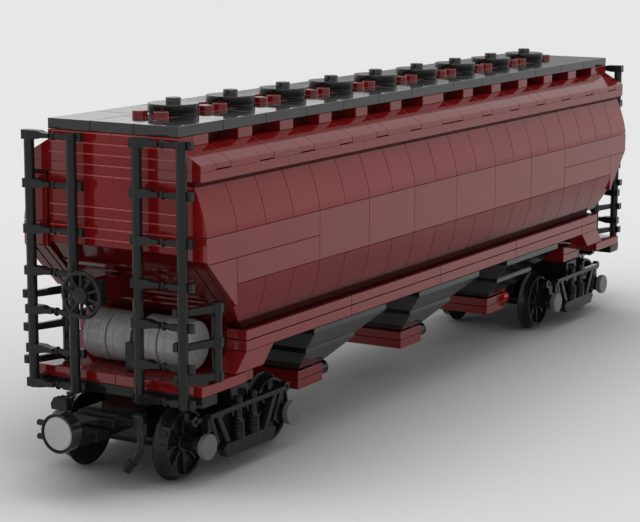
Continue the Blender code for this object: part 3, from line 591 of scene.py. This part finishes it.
def make_underframe():
    kit = Kit()
    length = 64.8
    for k in range(4):
        a = length * (k - 2)
        x = (a + SEAM, a + length - SEAM)
        kit.box(x, (-24.8, 24.8), (45.4, FOOT - 0.3))
        kit.box(x, (-23.9, 23.9), (39.2, 45.5))
    finish(kit, "floor_bricks", ROOT, RED, ["floor_plate"], bevel=0.2)

    cuts = [-136, -72, -8, 56, 120, 136]
    bracket = [(136, SILL_LOW - 0.05), (142, 32.8), (126.4, 32.8), (120.4, SILL_LOW - 0.05)]
    for name, side in SIDES:
        kit = Kit(mirror=side)
        for a, b in zip(cuts, cuts[1:]):
            x = (a + SEAM, b - SEAM)
            kit.box(x, (SILL_BACK, SILL_EDGE), (SILL_JOIN + 2 * SEAM, SILL_TOP))
            kit.box(x, (SILL_BACK, SILL_EDGE), (SILL_LOW, SILL_JOIN - 2 * SEAM))
        for end in (-1, 1):
            kit.prism("Y", [(end * x, z) for x, z in bracket], SILL_BACK, SILL_EDGE)
        finish(kit, f"sill_beams_{name}", ROOT, RED, [f"side_sill_{name}"], bevel=0.22)
        # a dark strip on the ledge between the lower panels and the sill, its darkness a painted shadow
        kit = Kit(mirror=side)
        kit.box((-135.6, 135.6), (24.9, 30.9), (SILL_TOP - 0.1, SILL_TOP + 0.15))
        kit.box((-133.6, 133.6), (24.9, 28.3), (SILL_TOP + 0.1, FOOT - 0.2))
        finish(kit, f"sill_painted_shadow_{name}", ROOT, PAINTED_SHADOW_RED, bevel=0.05)


# Each tier of a discharge bay: half its length, half its width, its top, and the height of its straight rim
BAY_TIERS = [(24, 32, 38.5, 2.0), (16, 24, 29.2, 1.6)]
LATCH_Y, LATCH_Z = -13.6, 16.5


def make_bays():
    for k in range(3):
        x = 72 * (k - 1)
        kit = Kit()
        # a tier is straight at its rim, and then slopes in on all four sides
        for length, width, top, rim in BAY_TIERS:
            rings = []
            for inset, z in ((0, top), (0, top - rim), (8, top - 9.5)):
                along, across = length - inset - SEAM, width - inset
                rings.append(
                    [(x + sx * along, sy * across, z) for sx, sy in ((-1, -1), (1, -1), (1, 1), (-1, 1))]
                )
            kit.loft(rings)
        finish(kit, f"bay_hopper_{k + 1}", ROOT, DECK_BLACK, [f"hopper_bay_{k + 1}"], bevel=0.3)

        kit = Kit()
        for low in (12.65, 12.65 + PLATE):
            kit.box((x - 8, x + 8), (-16, 16), (low + SEAM, low + PLATE - SEAM))
        finish(kit, f"gate_plates_{k + 1}", ROOT, RED, [f"outlet_gate_{k + 1}"], bevel=0.22)
        kit = Kit()
        kit.rod("X", (LATCH_Y, LATCH_Z), STUD_RADIUS, x + 7.6, x + 11.6, 24)
        kit.ring("X", (LATCH_Y, LATCH_Z), 2.5, 1.5, x + 11.0, x + 11.9, 24)
        # the latch of the last bay is a brighter red
        latch, slot = (BRIGHT_RED, "dark_red") if k == 2 else (BLACK, "black")
        finish(kit, f"gate_latch_{k + 1}", ROOT, latch, bevel=0)


# ---------------------------------------------------------------- ends

# Levels of the joins between the end wall's rows of bricks
WALL_ROWS = [105.9, 102.8, 99.6, 96.4, 93.2, 83.6, 80.4, 77.2, 74.0, 71.4]
# Corners of the stepped slope below the wall: how far in from the end, and the level
SLOPE_ROWS = [(0.3, 71.3), (5.6, 65.6), (8.0, 63.0), (13.2, 56.8), (15.3, 54.8), (17.3, 52.7), (25.9, 44.1)]
# The strips beside the slope: where each starts across the car, and the level of its foot
SLOPE_STRIPS = [(24.2, 47.6), (26.2, 47.6), (28.2, 49.4), (30.2, 53.4), (32.2, 58.0)]
FOOT_ROWS = [(32.7, 35.6), (35.6, 38.8), (38.8, 43.9)]


def make_end_wall(name, turn):
    kit, edges = Kit(turn), Kit(turn)
    for k, (top, low) in enumerate(zip(WALL_ROWS, WALL_ROWS[1:])):
        cuts = (-24, 0, 24) if k % 2 == 0 else (-24, -16, 16, 24)
        for a, b in zip(cuts, cuts[1:]):
            wobble(kit.box((FRONT + 0.15, FRONT + 8), (a + 0.01, b - 0.01), (low + 0.02, top)), 0.0012)
            # a thin, paler strip along the top edge of each brick is a painted highlight
            highlight_strip = [
                (FRONT + 0.05, top - 0.62), (FRONT + 0.05, top - 0.3), (FRONT + 0.4, top - 0.04),
                (FRONT + 0.6, top - 0.3), (FRONT + 0.6, top - 0.62),
            ]
            edges.prism("Y", highlight_strip, a + 0.15, b - 0.15)
    finish(kit, f"end_bricks_{name}", ROOT, END_RED, [f"end_wall_{name}"], bevel=0.05)
    finish(edges, f"end_highlights_{name}", ROOT, HIGHLIGHT_RED, bevel=0.03)


def make_end_slope(name, turn):
    kit = Kit(turn)
    for k, ((x0, z0), (x1, z1)) in enumerate(zip(SLOPE_ROWS, SLOPE_ROWS[1:])):
        splits = [(-24, -16), (-16, 16), (16, 24)] if k % 2 == 0 else [(-24, 0), (0, 24)]
        lip = 0.7 if k else 0.0
        outline = [
            (FRONT + x0, z0 - 0.05), (FRONT + x0, z0 - lip), (FRONT + x1 - 0.1, z1 + 0.1),
            (FRONT + x1 + 5.6, z1 + 0.1), (FRONT + x0 + 8, z0 - 0.05),
        ]
        for a, b in splits:
            wobble(kit.prism("Y", outline, a + SEAM, b - SEAM), 0.0015)
    # the ends of the side bricks, cut to the same slope, stand a little proud of each other
    for side in (-1, 1):
        for k, (a, low) in enumerate(SLOPE_STRIPS):
            proud = 0.55 if k % 2 else 0.2
            reach = END_LINE - low
            outline = [
                (FRONT + 0.2 - proud, 69.8), (FRONT + reach - proud, low),
                (FRONT + reach + 0.5, low), (FRONT + 0.7, 69.8),
            ]
            kit.prism("Y", outline, side * a, side * (a + 1.75))
    # the end slopes, and their foot below, take the darker red as painted shade
    finish(kit, f"end_slopes_{name}", ROOT, SHADED_SLOPE_RED, bevel=0.2)
    kit = Kit(turn)
    for low, top in FOOT_ROWS:
        kit.box((FRONT + 26, FRONT + 30), (-24, 24), (low + SEAM, top - SEAM))
    finish(kit, f"end_foot_{name}", ROOT, SHADED_SLOPE_RED, [f"end_slope_{name}"], bevel=0.2)


def make_end_platform(name, turn):
    middle, low = PLATFORM - PLATE, PLATFORM - 2 * PLATE
    kit = Kit(turn)
    for a, b in ((-32, 0), (0, 32)):
        kit.box((FRONT, FRONT + 24), (a + SEAM, b - SEAM), (middle, PLATFORM))
    kit.box((FRONT + 24, FRONT + 40), (-24, 24), (middle, PLATFORM))
    kit.box((FRONT + 24, FRONT + 40), (-24, 24), (low, middle - SEAM))
    # the pin that the bogie turns on
    kit.rod("Z", (BOGIE_X, 0), STUD_RADIUS, 21.0, 26.2, 20)
    finish(kit, f"platform_plates_{name}", ROOT, RED, [f"end_platform_{name}"], bevel=0.25)

    kit = Kit(turn)
    for a, b in ((-32, -16), (-16, 16), (16, 32)):
        kit.box((FRONT, FRONT + 8), (a + SEAM, b - SEAM), (low, middle - SEAM))
    finish(kit, f"end_beam_{name}", ROOT, BLACK, [f"end_sill_{name}"], bevel=0.25)


RAIL_OUT, RAIL_IN = 28, 12  # how far a ladder's two rails stand from the car's middle
RAIL_X = FRONT - 4
BAR_RADIUS = 1.6
RUNGS = [104.4, 89.6, 75.6, 62.7, 50.6, 38.4, 27.6]
SIDE_RUNGS = [55.2, 44.8, 34.6]


def turned_side(side, turn):
    """The side of the car a piece is on once its end has been turned: half a turn swaps left and right."""
    return "left" if (side == "left") == (turn == 1) else "right"


def make_ladder(name, turn, side, out):
    """One end ladder. A rung's wide end is on the rail with the higher Y, and its clip on the other."""
    x = RAIL_X
    wide, slim = sorted((out * RAIL_OUT, out * RAIL_IN), reverse=True)
    kit = Kit(turn)
    for y in (wide, slim):
        kit.rod("Z", (x, y), BAR_RADIUS, 26.0, 105.6, 20)
    for z in RUNGS:
        outline = [
            (wide + 1.9, z - 1.45), (wide + 1.9, z + 1.45), (wide - 4.4, z + 1.35), (wide - 5.8, z + 0.85),
            (wide - 8.4, z + 0.75), (wide - 8.4, z - 0.65), (wide - 5.8, z - 0.8), (wide - 3.0, z - 1.35),
        ]
        kit.prism("X", outline, x - 1.5, x + 1.5)
        kit.rod("Y", (x, z), 0.85, slim + 1.4, wide - 8.2, 14, edge=0.15)
        kit.rod("Y", (x, z), 1.35, wide - 9.9, wide - 8.9, 18, edge=0.3)
        kit.box((x - 0.9, x + 0.9), (slim + 1.2, slim + 4.4), (z - 0.95, z + 0.95))
        kit.ring("Z", (x, slim), 1.75, 1.2, z - 1.2, z + 1.2, 24)
        kit.box((x + 0.1, x + 1.7), (slim - 3.3, slim - 1.2), (z - 1.35, z + 1.35))
    for y in (wide, slim):
        kit.box((x - 0.4, FRONT - 0.1), (y - 1, y + 1), (26.2, 28.8))
    # seen from outside the end, each side ladder leans the same way from its rail
    rail_x, rail_y = x + 1.0, out * RAIL_OUT - 0.6
    post_x, post_y = FRONT + 8, out * RAIL_OUT - 3.9
    kit.rod("Z", (post_x, post_y), BAR_RADIUS, 32.6, 57.0, 20)
    for z in SIDE_RUNGS:
        bar = []
        for end_x, end_y, tall in ((rail_x, rail_y, 1.0), (post_x, post_y, 1.2)):
            corners = ((-0.8, -tall), (0.8, -tall), (0.8, tall), (-0.8, tall))
            bar.append([(end_x, end_y + wide_by, z + up_by) for wide_by, up_by in corners])
        kit.loft(bar)
        kit.ring("Z", (post_x, post_y), 1.9, 1.3, z - 1.5, z + 1.5, 24)
        kit.box((post_x - 0.9, post_x + 0.9), (post_y - 2.0, post_y + 0.2), (z - 1.3, z + 1.3))
        kit.box((x - 1.3, x + 1.3), (out * RAIL_OUT + 1.2, out * RAIL_OUT + 2.9), (z - 1.3, z + 1.3))
    place = turned_side(side, turn)
    finish(kit, f"ladder_bars_{name}_{place}", ROOT, BLACK, [f"ladder_{name}_{place}"], bevel=0.2)


# ---------------------------------------------------------------- brake wheel and tank

WHEEL_Y, WHEEL_Z, WHEEL_X = 4.3, 58.3, -171.2
SPOKES = 10
# The brake wheel's hub and shaft: radius, and place along the car
HUB = [
    (0, WHEEL_X - 0.45), (1.6, WHEEL_X - 0.4), (2.5, WHEEL_X - 0.1), (2.75, WHEEL_X + 0.5),
    (2.75, WHEEL_X + 1.9), (1.4, WHEEL_X + 2.2), (1.4, -162.9),
]
TANK_AXIS = (-144.0, 40.7)
TANK_RADIUS, TANK_GROOVE = 8.0, 7.86


def make_brake_wheel():
    y, z, face = WHEEL_Y, WHEEL_Z, WHEEL_X
    kit = Kit()
    kit.torus("X", (y, z), 6.7, 0.72, face + 1.0, 40, 10)
    spoke = [(face + 0.5, -0.4), (face + 1.5, -0.4), (face + 1.4, 0.4), (face + 0.6, 0.4)]
    for k in range(SPOKES):
        verts = kit.prism("Y", spoke, 0, 6.4)
        for v in verts:
            v.co = v.co + Vector((0, y, z)) * MM
        kit.spin(verts, "X", (0, y, z), math.tau * (k + 0.5) / SPOKES)
    kit.lathe("X", (y, z), HUB, 28)
    finish(kit, "brake_wheel_rim", "brake_wheel", BLACK, ["brake_wheel"], bevel=0.1)

    kit = Kit()
    kit.box((-165.9, -162.8), (y - 4.0, y + 4.0), (z - 4.0, z + 4.0))
    kit.ring("X", (y, z), 3.0, 1.75, -167.0, -165.8, 24)
    finish(kit, "brake_wheel_bracket", ROOT, BLACK, ["brake_bracket"], bevel=0.2)
    kit = Kit()
    arm = [(-162.75, 61.8), (-151.6, 61.8), (-144.6, 54.8), (-162.75, 54.8)]
    kit.prism("Y", arm, y - 2.6, y + 2.6)
    # the bracket brick takes the slopes' darker red as painted shade
    finish(kit, "bracket_brick", ROOT, SHADED_SLOPE_RED, bevel=0.2)


def make_tank():
    kit = Kit()
    for k in range(4):
        a = -19.2 + 9.6 * k
        b = a + 9.55
        # the two outer drums are rounded off more at the tank's ends
        low = 1.9 if k == 0 else 0.35
        high = 1.9 if k == 3 else 0.35
        profile = [
            (6.4, a + 0.05), (7.45, a + 0.1 + 0.2 * low), (TANK_RADIUS, a + low), (TANK_RADIUS, a + 2.6),
        ]
        for groove in (a + 2.6, a + 6.6):
            profile += [
                (TANK_RADIUS, groove), (TANK_GROOVE, groove + 0.08),
                (TANK_GROOVE, groove + 0.24), (TANK_RADIUS, groove + 0.32),
            ]
        profile += [(TANK_RADIUS, b - high), (7.45, b - 0.1 - 0.2 * high), (6.4, b - 0.05)]
        kit.lathe("Y", TANK_AXIS, profile, 64)
    kit.rod("Y", TANK_AXIS, 2.6, -19.4, 19.4, 24)
    finish(kit, "air_tank_drum", ROOT, GREY, ["air_tank"], bevel=0)
    kit = Kit()
    kit.box((-154.6, -151.6), (-2.9, 0.1), (32.6, 41.5))
    kit.ring("Y", TANK_AXIS, 8.75, 8.05, -2.7, -0.3, 40)
    finish(kit, "air_tank_strap", ROOT, BLACK, bevel=0.15)


# ---------------------------------------------------------------- bogies

# Half-widths over a side frame's two faces, then its bars seen from the side, about its middle
FRAME_IN, FRAME_OUT = 25.2, 27.6
LOWER_BAR = [(-13.0, 10.2), (13.0, 10.2), (15.0, 9.0), (12.6, 5.9), (-12.6, 5.9), (-15.0, 9.0)]
STRUT = [(9.4, 10.0), (11.6, 9.6), (17.4, 19.8), (15.2, 19.8)]
BRACE = [(15.0, 11.0), (17.0, 11.0), (21.0, 19.8), (19.2, 19.8)]
# Half the section of an axle's end cap: radius, and place across the car
AXLE_CAP = [(2.9, 26.9), (3.6, 27.0), (3.6, 27.4), (4.0, 27.5), (4.0, 28.95), (3.75, 29.2), (0, 29.2)]
# Half the section of a wheel: radius, and place across the car
WHEEL = [
    (2.6, WHEEL_BACK), (9.6, 15.95), (11.7, 16.0), (12.0, 16.25), (11.95, 16.7), (10.9, 17.2), (10.55, 17.7),
    (10.4, 20.4), (10.25, RIM_FACE), (9.6, RIM_FACE), (9.4, 20.4), (9.2, 18.6), (3.2, 18.4), (3.0, 19.8),
    (2.8, HUB_FACE), (1.6, HUB_FACE),
]
WHEEL_SPOKES = 8
# Each end of a spoke: distance from the axle, half its width at the back and the front, and its front face
SPOKE_ENDS = ((2.2, 0.9, 0.6, 19.5), (9.4, 0.6, 0.4, 19.7))
SPOKE_BACK = 18.2


def spring_profile():
    """Half the section of a spring pot with its coils and the knob on top: radius and level."""
    profile = [(1.0, 7.8), (2.1, 8.0), (2.15, 12.4)]
    for k in range(3):
        ridge = 12.6 + 1.15 * k
        profile += [(1.8, ridge), (2.2, ridge + 0.25), (2.2, ridge + 0.75), (1.8, ridge + 1.0)]
    return profile + [(1.3, 16.4), (1.2, 18.8), (1.4, 22.1), (1.5, 23.2), (1.0, 23.6), (0, 23.6)]


def make_side_frame(name, turn, side, out):
    body, x = f"bogie_{name}", BOGIE_X
    inner, outer = FRAME_IN, FRAME_OUT
    kit = Kit(turn, out)
    kit.box((x - 21, x + 21), (inner + 0.4, outer), (20.0, 21.2))
    kit.box((x - 21, x + 21), (inner, outer - 0.5), (19.4, 20.1))
    kit.prism("Y", [(x + along, z) for along, z in LOWER_BAR], inner, outer + 0.6)
    for sign in (-1, 1):
        kit.prism("Y", [(x + sign * along, z) for along, z in STRUT], inner + 0.2, outer - 0.4)
        kit.prism("Y", [(x + sign * along, z) for along, z in BRACE], inner + 0.2, outer - 0.6)
        axle = x + sign * AXLE_OFFSET
        kit.rod("Y", (axle, AXLE_Z), 3.0, inner - 1.0, outer - 0.2, 24)
        kit.box((axle - sign * 2.4, x + sign * 19.0), (inner, outer - 0.8), (15.4, 20.0))
        kit.lathe("Z", (x + sign * 4.2, 26.2), spring_profile(), 22)
        kit.ring("Y", (x + sign * 26, 19.8), 1.7, 0.6, 23.4, inner + 0.2, 18)
        kit.box((x + sign * 20.6, x + sign * 25.0), (23.4, inner + 0.4), (19.0, 20.4))
    kit.box((x - 11, x + 11), (22.6, 24.4), (9.6, 19.4))
    place = turned_side(side, turn)
    node = f"side_frame_{name}_{place}"
    finish(kit, f"frame_casting_{name}_{place}", body, BLACK, [node], bevel=0.2)
    kit = Kit(turn, out)
    for sign in (-1, 1):
        kit.lathe("Y", (x + sign * AXLE_OFFSET, AXLE_Z), AXLE_CAP, 32)
    finish(kit, f"axle_caps_{name}_{place}", body, CAP_GREY, bevel=0)


def make_wheelset(name, place, turn, x):
    kit = Kit(turn)
    for out in (-1, 1):
        kit.lathe("Y", (x, AXLE_Z), [(radius, out * y) for radius, y in WHEEL], 48)
        spoke = []
        for far, back, face, front in SPOKE_ENDS:
            corners = [(-back, SPOKE_BACK), (back, SPOKE_BACK), (face, front), (-face, front)]
            spoke.append([(x + along, out * y, far) for along, y in corners])
        for k in range(WHEEL_SPOKES):
            verts = kit.loft(spoke)
            for v in verts:
                v.co.z += AXLE_Z * MM
            kit.spin(verts, "Y", (x, 0, AXLE_Z), math.tau * k / WHEEL_SPOKES)
    kit.rod("Y", (x, AXLE_Z), 1.6, -26.5, 26.5, 16)
    kit.rod("Y", (x, AXLE_Z), 2.6, -15.95, 15.95, 20)
    wheelset = f"wheelset_{name}_{place}"
    finish(kit, f"wheels_{name}_{place}", wheelset, BLACK, [wheelset], bevel=0.12)


# The hose bracket's section, and the hose's route from it down: across the car, and level
HOSE_BRACKET = [(10.8, 21.6), (16.9, 21.6), (17.2, 23.4), (16.0, 25.4), (11.6, 25.5), (10.8, 24.4)]
HOSE_ROUTE = [
    (-14.5, 24.0), (-14.5, 22.5), (-14.6, 20.6), (-15.1, 18.6), (-15.5, 16.6), (-15.5, 14.6), (-15.0, 12.6),
    (-14.0, 10.8), (-12.6, 9.0), (-11.0, 7.2), (-10.2, 6.2),
]


def make_bogie_plates(name, turn):
    x = BOGIE_X
    kit = Kit(turn)
    for a, b in ((-22, -6), (-6, 6), (6, 22)):
        kit.box((x + a + SEAM, x + b - SEAM), (-12, 12), (19.2, 22.4))
    kit.box((x - 5.4, x + 5.4), (-24.3, 24.3), (19.3, 22.3))
    kit.box((x - 5.0, x + 5.0), (-24.2, 24.2), (22.3, 25.6))
    # the brick between the axles, and the bars over them
    kit.box((x - 11.3, x + 11.3), (-15.5, 15.5), (9.7, 19.3))
    for sign in (-1, 1):
        kit.box((x + sign * 14.0, x + sign * 34.0), (-13.0, 13.0), (15.4, 19.3))
    # the tongue that carries the coupler, and the bracket of the hose beside it
    kit.box((x - 40, x - 11), (-8, 8), (19.25, 22.35))
    kit.box((-171.8, x - 39.9), (-7.9, 7.9), (19.3, 21.9))
    kit.box((-170.0, -166.6), (-15.6, -7.0), (20.4, 22.4))
    kit.prism("X", HOSE_BRACKET, -170.0, -167.4)
    finish(kit, f"bogie_plates_{name}", f"bogie_{name}", BLACK, [f"bogie_frame_{name}"], bevel=0.22)


def make_coupler(name, turn):
    body, z = f"coupler_{name}", COUPLER_Z
    face, back = COUPLER_FACE, COUPLER_BACK
    kit = Kit(turn)
    kit.ring("X", (0, z), 6.0, 5.35, face, back + 0.2, 44)
    kit.rod("X", (0, z), 5.6, -185.1, back + 0.1, 40)
    kit.lathe("X", (0, z - 1.2), [(4.6, back), (3.6, back + 1.6), (3.2, back + 4.6), (2.6, back + 5.2)], 28)
    kit.prism("Y", [(-184.4, 18.9), (-161.0, 18.9), (-160.9, 15.7), (-178.0, 15.7), (-184.4, 16.4)], -4, 4)
    kit.box((-177.0, -170.2), (-5.6, 5.6), (16.0, 18.8))
    # the pin that the coupler swings on
    kit.rod("Z", (-164.0, 0), 1.4, 17.9, 22.3, 16)
    for lift in (-2.1, 2.1):
        kit.rod("Y", (-186.6, z + lift), 0.95, 5.2, 8.5, 14)
    finish(kit, f"coupler_head_{name}", body, BLACK, [f"coupler_arm_{name}"], bevel=0.18)
    kit = Kit(turn)
    kit.lathe("X", (0, z), [(4.4, -185.3), (4.9, -185.2), (5.1, -187.9), (4.9, -188.2), (4.4, -188.35)], 44)
    finish(kit, f"magnet_disc_{name}", body, MAGNET, [f"coupler_magnet_{name}"], bevel=0)


def make_hose(name, turn):
    route = [(HOSE_X, y, z) for y, z in HOSE_ROUTE]
    kit = Kit(turn)
    kit.tube(route, 1.15, 14)
    kit.rod("Z", (HOSE_X, -14.5), 1.7, 20.6, 23.8, 18)
    kit.tube(route[-3:], 1.5, 14)
    finish(kit, f"hose_{name}", f"bogie_{name}", BLACK, [f"brake_hose_{name}"], bevel=0)


# ---------------------------------------------------------------- the model

make_camera()
make_world()
make_light("key", KEY_PLACE, KEY_TARGET, KEY_SIZE, KEY_POWER)
make_floor()
make_roof()
make_roof_edges()
make_sides()
make_underframe()
make_bays()
for end_name, end_turn in ENDS:
    make_end_wall(end_name, end_turn)
    make_end_slope(end_name, end_turn)
    make_end_platform(end_name, end_turn)
    make_ladder(end_name, end_turn, "left", 1)
    make_ladder(end_name, end_turn, "right", -1)
    make_bogie_plates(end_name, end_turn)
    make_side_frame(end_name, end_turn, "left", 1)
    make_side_frame(end_name, end_turn, "right", -1)
    make_wheelset(end_name, "outer", end_turn, BOGIE_X - AXLE_OFFSET)
    make_wheelset(end_name, "inner", end_turn, BOGIE_X + AXLE_OFFSET)
    make_coupler(end_name, end_turn)
    make_hose(end_name, end_turn)
make_brake_wheel()
make_tank()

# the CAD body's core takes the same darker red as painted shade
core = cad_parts["body_core"].data
core.materials.clear()
core.materials.append(PAINTED_SHADE_RED)

bpy.context.scene.view_settings.view_transform = "Standard"
bpy.context.scene.view_settings.look = "None"
